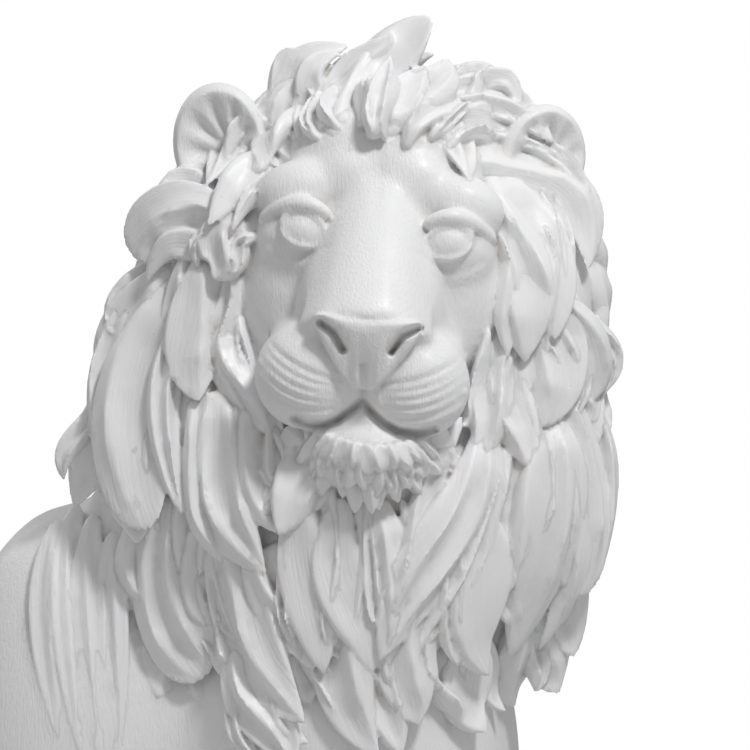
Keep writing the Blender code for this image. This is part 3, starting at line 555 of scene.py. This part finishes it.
def fused(bm, grain, smoothing):
    """Kneads overlapping lumps into one skin, and smooths the joins."""
    mesh = bpy.data.meshes.new("clay")
    bm.to_mesh(mesh)
    bm.free()
    clay = bpy.data.objects.new("clay", mesh)
    bpy.context.collection.objects.link(clay)
    remesh = clay.modifiers.new("knead", "REMESH")
    remesh.mode = "VOXEL"
    remesh.voxel_size = grain
    relax = clay.modifiers.new("relax", "SMOOTH")
    relax.factor = 0.5
    relax.iterations = smoothing
    bpy.context.view_layer.update()
    evaluated = clay.evaluated_get(bpy.context.evaluated_depsgraph_get())
    result = bpy.data.meshes.new_from_object(evaluated)
    bpy.data.objects.remove(clay)
    bpy.data.meshes.remove(mesh)
    made = bmesh.new()
    made.from_mesh(result)
    bpy.data.meshes.remove(result)
    return made


def base_form():
    """Torso, neck, the mane's bulk and the skull, before any hair."""
    bm = bmesh.new()
    for centre, radii, turn in BODY_FORMS.values():
        ball(bm, centre, radii, turn, WORLD)
    bm = fused(bm, 2.0, 40)
    for centre, radii, turn in MANE_FORMS.values():
        ball(bm, centre, radii, turn, WORLD)
    bm = fused(bm, 1.6, 16)
    for centre, radii, turn in SKULL_FORMS.values():
        pair(bm, centre, radii, turn, HEAD)
    return fused(bm, 1.0, 8)


def face_form(bm):
    """Brow, bridge, muzzle pads and chin, worked into the base form."""
    nose_bridge(bm)
    for centre, radii, turn in FACE_FORMS.values():
        pair(bm, centre, radii, turn, HEAD)
    return fused(bm, 0.5, 18)


def mane(bm, surface, chance):
    """All the locks, the lowest layer first."""
    for height, drop in UNDER_ROWS:
        across = UNDER_SPAN[0] + UNDER_STEP * chance.random()
        while across < UNDER_SPAN[1]:
            root = (across, height)
            tip = (across * 1.02 + chance.uniform(-2, 2), height - drop)
            middle = ((root[0] + tip[0]) / 2 + chance.uniform(-1.2, 1.2), height - drop / 2)
            # Keeps the under locks off the face and chin
            if abs(across) > (17 if height > 45 else 13) or height < 40:
                line, outward = front_line(surface, root, middle, tip, 14)
                lock(bm, line, outward, UNDER_STEP * 1.2, -1.3, chance, depth=0.75)
            across += UNDER_STEP
    for rise, fall, count, arc in BACK_ROWS:
        for index in range(count):
            share = (index + chance.uniform(0.2, 0.8)) / count
            azimuth = arc[0] + (arc[1] - arc[0]) * share
            start = (azimuth, rise + chance.uniform(-4, 4))
            end = (azimuth + chance.uniform(-12, 12), start[1] - fall * chance.uniform(0.8, 1.1))
            line, outward = round_line(surface, start, end, 18)
            width = BACK_WIDTH * chance.uniform(0.75, 1.1)
            lock(bm, line, outward, width, chance.uniform(0, 1), chance)
    for root, middle, tip in SHOULDER_STRANDS:
        line, outward = front_line(surface, root, middle, tip, 18)
        lock(bm, line, outward, STRAND_WIDTH, -1.0, chance, depth=0.42)
    for name, (root, middle, tip, width, lift) in FRONT_LOCKS.items():
        width *= FRONT_WIDTH
        for side in (-1, 1):
            reach = chance.uniform(0.7, 1.0)
            end = [a + (b - a) * reach for a, b in zip(root, tip)]
            aside = side * width * chance.uniform(0.3, 0.42)
            sway = width * chance.uniform(-0.14, 0.14)
            line, outward = front_line(surface, root, middle, end, 28, aside, sway)
            lock(bm, line, outward, width * SIDE_LOCK_WIDTH, lift - 0.5, chance, depth=0.9)
        sway = 0 if name in BLUNT_LOCKS else width * chance.uniform(-0.16, 0.16)
        line, outward = front_line(surface, root, middle, tip, 36, sway=sway)
        blunt = 0.8 if name in BLUNT_LOCKS else 0.1
        lock(bm, line, outward, width, lift, chance, blunt=blunt)


def largest_body(bm):
    """Deletes any crumb or sealed bubble, so that one closed skin is left."""
    unseen = set(bm.verts)
    bodies = []
    while unseen:
        reached = [unseen.pop()]
        body = []
        while reached:
            vert = reached.pop()
            body.append(vert)
            for edge in vert.link_edges:
                other = edge.other_vert(vert)
                if other in unseen:
                    unseen.remove(other)
                    reached.append(other)
        bodies.append(body)
    bodies.sort(key=len)
    for body in bodies[:-1]:
        bmesh.ops.delete(bm, geom=body, context="VERTS")


def nose_cut(own):
    """How far each point must go back to lie behind the plane of the nose's front."""
    across, deep, up = own[:, 0] - NOSE_EDGE[0], own[:, 1], own[:, 2]
    wide, narrow = NOSE_HALF_WIDTHS
    edge = NOSE_EDGE[1] + NOSE_CORNER_RISE * (across / wide) ** 2
    share = np.clip((up - NOSE_FOOT) / (edge - NOSE_FOOT), 0, 1)
    half = narrow + (wide - narrow) * share ** 1.2
    plane = NOSE_REACH + NOSE_FALL * (edge - up) + 0.03 * across ** 2
    inside = (up < edge) * np.clip((half - np.abs(across)) / NOSE_SOFT_SIDE, 0, 1)
    inside *= np.clip((up - NOSE_FOOT) / NOSE_SOFT_SIDE, 0, 1)
    return np.maximum(plane - deep, 0) * inside


def stroke_push(flat, path, radius, depth):
    """How far a stroke along a path presses each point, as the points lie seen from the front."""
    nearest = np.full(len(flat), radius)
    for start, end in zip(path, path[1:]):
        start, run = np.array(start), np.array(end) - np.array(start)
        offset = flat - start
        share = np.clip(offset @ run / (run @ run), 0, 1)
        nearest = np.minimum(nearest, np.linalg.norm(offset - share[:, None] * run, axis=1))
    return depth * (1 - (nearest / radius) ** 2) ** 2


def pressed(mesh):
    """Cuts the nose's plane and pushes the modelling strokes into the front of the face."""
    to_head = np.array(HEAD.inverted())
    inward = np.array(HEAD.to_3x3() @ Vector((0, 1, 0)))
    points = np.empty(len(mesh.vertices) * 3)
    mesh.vertices.foreach_get("co", points)
    points = points.reshape(-1, 3)
    own = points @ to_head[:3, :3].T + to_head[:3, 3]
    front = own[:, 1] < STROKE_FRONT
    push = np.zeros(len(own))
    cut = nose_cut(own)
    for path, radius, depth in STROKES.values():
        push = np.maximum(push, stroke_push(own[:, (0, 2)], path, radius, depth) * front)
    points += (push + cut)[:, None] * inward
    mesh.vertices.foreach_set("co", points.ravel())


# Which facets of the unfused clay belong to which lock, and the lines those locks follow
LOCK_STARTS = []
LOCK_LINES = []


def mark_strands(clay, line, outward):
    """Remembers which way a lock runs, so that its paint and hair strokes can follow it."""
    rows = []
    travelled = 0.0
    for step in range(len(line) - 1):
        along = (line[step + 1] - line[max(step - 1, 0)]).normalized()
        across = along.cross(outward[step]).normalized()
        rows.append((line[step], along, across, travelled))
        travelled += (line[step + 1] - line[step]).length
    LOCK_STARTS.append(len(clay.faces))
    LOCK_LINES.append(rows)


def strand_values(points, clay):
    """For each point, millimetres across and along its lock, and 1 where it is on none."""
    millimetres = SHARE * 1000
    strokes = np.zeros((len(points), 3), dtype=np.float32)
    bare = np.ones(len(points), dtype=np.float32)
    for row, point in enumerate(points):
        point = Vector(point)
        _, _, facet, _ = clay.find_nearest(point)
        number = bisect.bisect_right(LOCK_STARTS, facet) - 1
        if number < 0:
            continue
        rows = LOCK_LINES[number]
        start, along, across, travelled = min(rows, key=lambda item: (item[0] - point).length_squared)
        offset = point - start
        strokes[row] = (
            offset.dot(across) * millimetres + number * 5.37,
            (travelled + offset.dot(along)) * millimetres,
            number * 3.11,
        )
        bare[row] = 0.0
    return strokes, bare


def recesses(mesh, points):
    """How deep in a fold each point of the skin lies, from 0 on the open to 1."""
    edges = np.empty(len(mesh.edges) * 2, dtype=np.int64)
    mesh.edges.foreach_get("vertices", edges)
    first, second = edges.reshape(-1, 2).T
    normals = np.empty(len(points) * 3)
    mesh.vertex_normals.foreach_get("vector", normals)
    normals = normals.reshape(-1, 3)
    run = points[second] - points[first]
    length = np.linalg.norm(run, axis=1) + 1e-9
    total = np.bincount(first, np.einsum("ij,ij->i", run, normals[first]) / length, len(points))
    total -= np.bincount(second, np.einsum("ij,ij->i", run, normals[second]) / length, len(points))
    valence = np.bincount(edges, minlength=len(points))
    hollow = total / valence
    for _ in range(RECESS_SPREAD):
        spread = np.bincount(first, hollow[second], len(points))
        spread += np.bincount(second, hollow[first], len(points))
        hollow = (hollow + spread / valence) / 2
    return np.clip(hollow / RECESS_FULL, 0, 1).astype(np.float32)


def fine_strokes():
    """The whisker furrows of the muzzle pads and a fold under each eye."""
    strokes = []
    for side in (-1, 1):
        for row in range(WHISKER_ROWS):
            share = row / (WHISKER_ROWS - 1)
            outer = (12.8 - 0.6 * share, -7.4 - 6.0 * share)
            middle = (8.4 - 0.4 * share, -11.0 - 5.0 * share)
            inner = (2.8 + 0.4 * share, -12.6 - 3.4 * share)
            path = curve_through(outer, middle, inner, 10)
            strokes.append(([(side * x, z) for x, z in path], WHISKER_RADIUS, WHISKER_DEPTH))
        under = curve_through((5.8, 3.6), (9.6, 1.8), (13.0, 3.4), 8)
        strokes.append(([(side * x, z) for x, z in under], EYE_FOLD_RADIUS, EYE_FOLD_DEPTH))
    return strokes


def press_strokes(points, strokes):
    """Pushes fine strokes into the front of the face."""
    to_head = np.array(HEAD.inverted())
    inward = np.array(HEAD.to_3x3() @ Vector((0, 1, 0)))
    own = points @ to_head[:3, :3].T + to_head[:3, 3]
    face = (own[:, 1] < STROKE_FRONT) & (abs(own[:, 0]) < FACE_HALF_WIDTH)
    rows = np.nonzero(face & (abs(own[:, 2]) < FACE_HALF_HEIGHT))[0]
    flat = own[rows][:, (0, 2)]
    for path, radius, depth in strokes:
        points[rows] += stroke_push(flat, path, radius, depth)[:, None] * inward


def dressed_bust():
    """The cast's whole skin, with the fine modelling, as one piece."""
    chance = random.Random(7)
    bm = base_form()
    surface = BVHTree.FromBMesh(bm)
    bm = face_form(bm)
    nose_lump(bm)
    for side in (-1, 1):
        eye(bm, side)
    for centre, radii, turn in EARS:
        ear(bm, centre, radii, turn)
    mane(bm, surface, chance)
    beard(bm, chance)
    clay = BVHTree.FromBMesh(bm)
    bm = fused(bm, GRAIN / SHARE, 1)
    largest_body(bm)
    mesh = bpy.data.meshes.new("lion_bust")
    bm.to_mesh(mesh)
    bm.free()
    pressed(mesh)
    points = np.empty(len(mesh.vertices) * 3)
    mesh.vertices.foreach_get("co", points)
    points = points.reshape(-1, 3)
    press_strokes(points, fine_strokes())
    mesh.vertices.foreach_set("co", points.ravel())
    mesh.update()
    return mesh, clay


def thinned(mesh):
    """Keeps the facets that carry the form, and saws the base level."""
    piece = bpy.data.objects.new("resin_cast", mesh)
    bpy.context.collection.objects.link(piece)
    thin = piece.modifiers.new("thin", "DECIMATE")
    thin.ratio = FACETS / (2 * len(mesh.polygons))
    thin.use_collapse_triangulate = True
    bpy.context.view_layer.update()
    evaluated = piece.evaluated_get(bpy.context.evaluated_depsgraph_get())
    kept = bpy.data.meshes.new_from_object(evaluated)
    piece.modifiers.clear()
    piece.data = kept
    bpy.data.meshes.remove(mesh)
    bm = bmesh.new()
    bm.from_mesh(kept)
    geometry = bm.verts[:] + bm.edges[:] + bm.faces[:]
    plane = {"plane_co": (0, 0, BASE_CUT), "plane_no": (0, 0, 1)}
    cut = bmesh.ops.bisect_plane(bm, geom=geometry, clear_inner=True, **plane)
    edges = [item for item in cut["geom_cut"] if isinstance(item, bmesh.types.BMEdge)]
    bmesh.ops.triangle_fill(bm, edges=edges, use_beauty=True, normal=(0, 0, -1))
    bm.to_mesh(kept)
    bm.free()
    return piece


def held_inside(points, low, high):
    """Draws in, by a little, what the finer grain leaves outside the frame's box."""
    for axis in range(3):
        points[:, axis] = np.clip(points[:, axis], low[axis] / SHARE, high[axis] / SHARE)


def lay_values(piece, clay):
    """Gives the skin the values its paint follows, then brings it to its real size."""
    mesh = piece.data
    points = np.empty(len(mesh.vertices) * 3)
    mesh.vertices.foreach_get("co", points)
    points = points.reshape(-1, 3)
    held_inside(points, *cad_box)
    strokes, bare = strand_values(points, clay)
    hollow = recesses(mesh, points)
    for name, kind, key, values in (
        ("strand", "FLOAT_VECTOR", "vector", strokes),
        ("bare", "FLOAT", "value", bare),
        ("recess", "FLOAT", "value", hollow),
    ):
        layer = mesh.attributes.new(name, kind, "POINT")
        layer.data.foreach_set(key, values.ravel())
    mesh.vertices.foreach_set("co", (points * SHARE).ravel())
    mesh.update()
    mesh.shade_smooth()
    mesh.set_sharp_from_angle(angle=math.radians(60))


def colour(code):
    """A hex sRGB colour as the linear values a socket takes."""
    channels = [int(code[at : at + 2], 16) / 255 for at in (1, 3, 5)]
    return tuple(c / 12.92 if c <= 0.04045 else ((c + 0.055) / 1.055) ** 2.4 for c in channels) + (1.0,)


def add(tree, kind, inputs=None, **settings):
    """One node: settings on the node, then each input as a link from another node or a constant."""
    node = tree.nodes.new(kind)
    for name, value in settings.items():
        setattr(node, name, value)
    for key, value in (inputs or {}).items():
        if isinstance(value, bpy.types.NodeSocket):
            tree.links.new(value, node.inputs[key])
        else:
            node.inputs[key].default_value = value
    return node


def painted_resin():
    """White satin paint over cast resin: bright and softly glossy, greyed in the folds by dirt and by painted
    shade.
    """
    material = bpy.data.materials.new("painted_resin")
    material.use_nodes = True
    tree = material.node_tree
    tree.nodes.clear()
    place = add(tree, "ShaderNodeTexCoord").outputs["Object"]
    strand = add(tree, "ShaderNodeAttribute", attribute_name="strand").outputs["Vector"]
    bare = add(tree, "ShaderNodeAttribute", attribute_name="bare").outputs["Fac"]
    recess = add(tree, "ShaderNodeAttribute", attribute_name="recess").outputs["Fac"]

    # Hair strokes along each lock, about 2 mm apart
    run = add(tree, "ShaderNodeVectorMath", {0: strand, 1: (0.42, 0.022, 1.0)}, operation="MULTIPLY")
    hair = add(tree, "ShaderNodeTexNoise", {
        "Vector": run.outputs[0], "Scale": 1.0, "Detail": 3.0, "Roughness": 0.6,
    })
    # Short coat strokes on the face and body, 1.5 mm wide and 9 mm long, combed down
    comb = add(tree, "ShaderNodeVectorMath", {0: place, 1: (620.0, 620.0, 110.0)}, operation="MULTIPLY")
    coat = add(tree, "ShaderNodeTexNoise", {
        "Vector": comb.outputs[0], "Scale": 1.0, "Detail": 2.0, "Roughness": 0.6,
    })
    strokes = add(tree, "ShaderNodeMix", {0: bare, 2: hair.outputs["Fac"], 3: coat.outputs["Fac"]})
    # Orange peel of the paint, about 1 mm, and pinholes of the casting about 12 mm apart
    peel = add(tree, "ShaderNodeTexNoise", {"Vector": place, "Scale": 900.0, "Detail": 2.0})
    holes = add(tree, "ShaderNodeTexVoronoi", {"Vector": place, "Scale": 85.0, "Randomness": 1.0})
    pits = add(tree, "ShaderNodeMapRange", {0: holes.outputs["Distance"], 1: 0.03, 2: 0.075, 3: 0.0, 4: 1.0})

    relief = add(tree, "ShaderNodeBump", {"Strength": 0.55, "Distance": 0.0012, "Height": strokes.outputs[0]})
    relief = add(tree, "ShaderNodeBump", {
        "Strength": 0.25, "Distance": 0.0003, "Height": peel.outputs["Fac"], "Normal": relief.outputs[0],
    })
    relief = add(tree, "ShaderNodeBump", {
        "Strength": 0.5, "Distance": 0.0005, "Height": pits.outputs[0], "Normal": relief.outputs[0],
    })

    # Where a fold is deep the paint greys, partly as dirt and partly as painted shade, broken up by a cloudy
    # noise
    cloud = add(tree, "ShaderNodeTexNoise", {"Vector": place, "Scale": 60.0, "Detail": 4.0})
    patch = add(tree, "ShaderNodeMapRange", {0: cloud.outputs["Fac"], 1: 0.4, 2: 0.7, 3: 0.25, 4: 1.0})
    dirt_and_painted_shade = add(tree, "ShaderNodeMath", {0: recess, 1: patch.outputs[0]}, operation="MULTIPLY")
    # The darker colour is the fold's dirt together with painted shade
    tint = add(tree, "ShaderNodeMix", {
        0: dirt_and_painted_shade.outputs[0], 6: colour("#F0F0F1"), 7: colour("#A09A91"),
    }, data_type="RGBA")
    sheen = add(tree, "ShaderNodeMapRange", {0: cloud.outputs["Fac"], 1: 0.3, 2: 0.7, 3: 0.42, 4: 0.6})
    skin = add(tree, "ShaderNodeBsdfPrincipled", {
        "Base Color": tint.outputs[2], "Roughness": sheen.outputs[0], "IOR": 1.46,
        "Coat Weight": 0.12, "Coat Roughness": 0.25, "Normal": relief.outputs[0],
    })
    add(tree, "ShaderNodeOutputMaterial", {"Surface": skin.outputs[0]})
    return material


def plain_material(name, code, roughness):
    """One even finish, for the studio floor."""
    material = bpy.data.materials.new(name)
    material.use_nodes = True
    shader = material.node_tree.nodes["Principled BSDF"]
    shader.inputs["Base Color"].default_value = colour(code)
    shader.inputs["Roughness"].default_value = roughness
    return material


def aimed(item, place, target):
    """Puts a lamp or the camera at a place, looking at a target."""
    bpy.context.collection.objects.link(item)
    item.location = place
    look = Vector(target) - Vector(place)
    item.rotation_euler = look.to_track_quat("-Z", "Y").to_euler()


def softbox(name, place, size, watts):
    """A round soft lamp that looks at the bust."""
    lamp = bpy.data.lights.new(name, "AREA")
    lamp.shape = "DISK"
    lamp.size = size
    lamp.energy = watts
    aimed(bpy.data.objects.new(name, lamp), place, LAMP_TARGET)


def studio():
    """Pale floor, soft key from the upper right, weak rim light and a fill stronger from above."""
    mesh = bpy.data.meshes.new("studio_floor")
    bm = bmesh.new()
    bmesh.ops.create_grid(bm, x_segments=1, y_segments=1, size=1.0)
    for vert in bm.verts:
        depth = FLOOR_MIDDLE + vert.co.y * FLOOR_HALF_DEPTH
        vert.co = (vert.co.x * FLOOR_HALF_WIDTH, depth, FLOOR_LEVEL)
    bm.to_mesh(mesh)
    bm.free()
    floor = bpy.data.objects.new("studio_floor", mesh)
    bpy.context.collection.objects.link(floor)
    floor.data.materials.append(plain_material("pale_floor", "#C4C4C4", 0.8))

    for name, (place, size, watts) in LAMPS.items():
        softbox(name, place, size, watts)

    # The camera sees plain white behind the bust. What lights the bust is the fill.
    world = bpy.data.worlds.new("white_studio")
    world.use_nodes = True
    tree = world.node_tree
    tree.nodes.clear()
    seen = add(tree, "ShaderNodeLightPath").outputs["Is Camera Ray"]
    way = add(tree, "ShaderNodeSeparateXYZ", {0: add(tree, "ShaderNodeTexCoord").outputs["Generated"]})
    fill = add(tree, "ShaderNodeMapRange", {
        0: way.outputs["Z"], 1: -0.4, 2: 0.7, 3: FILL_FROM_BELOW, 4: FILL_FROM_ABOVE,
    })
    level = add(tree, "ShaderNodeMapRange", {0: seen, 1: 0.0, 2: 1.0, 3: fill.outputs[0], 4: 1.0})
    glow = add(tree, "ShaderNodeBackground", {"Color": colour("#FFFFFF"), "Strength": level.outputs[0]})
    add(tree, "ShaderNodeOutputWorld", {"Surface": glow.outputs[0]})
    bpy.context.scene.world = world
    bpy.context.scene.view_settings.view_transform = "Standard"


def photograph_view():
    """The camera, framed on the head and mane as the photograph is."""
    camera = bpy.data.cameras.new("photo_camera")
    camera.sensor_width = SENSOR_WIDTH
    camera.lens = SENSOR_WIDTH * VIEW_DISTANCE / VIEW_WIDTH
    height = VIEW_HEIGHT * SHARE
    item = bpy.data.objects.new("photo_camera", camera)
    aimed(item, (0, -VIEW_DISTANCE, height), (0, 0, height))
    bpy.context.scene.camera = item


skin, clay_tree = dressed_bust()
cast = thinned(skin)
lay_values(cast, clay_tree)
cast.data.materials.append(painted_resin())
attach(cast, "root")
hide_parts("lion_bust")
studio()
photograph_view()

bpy.context.view_layer.update()
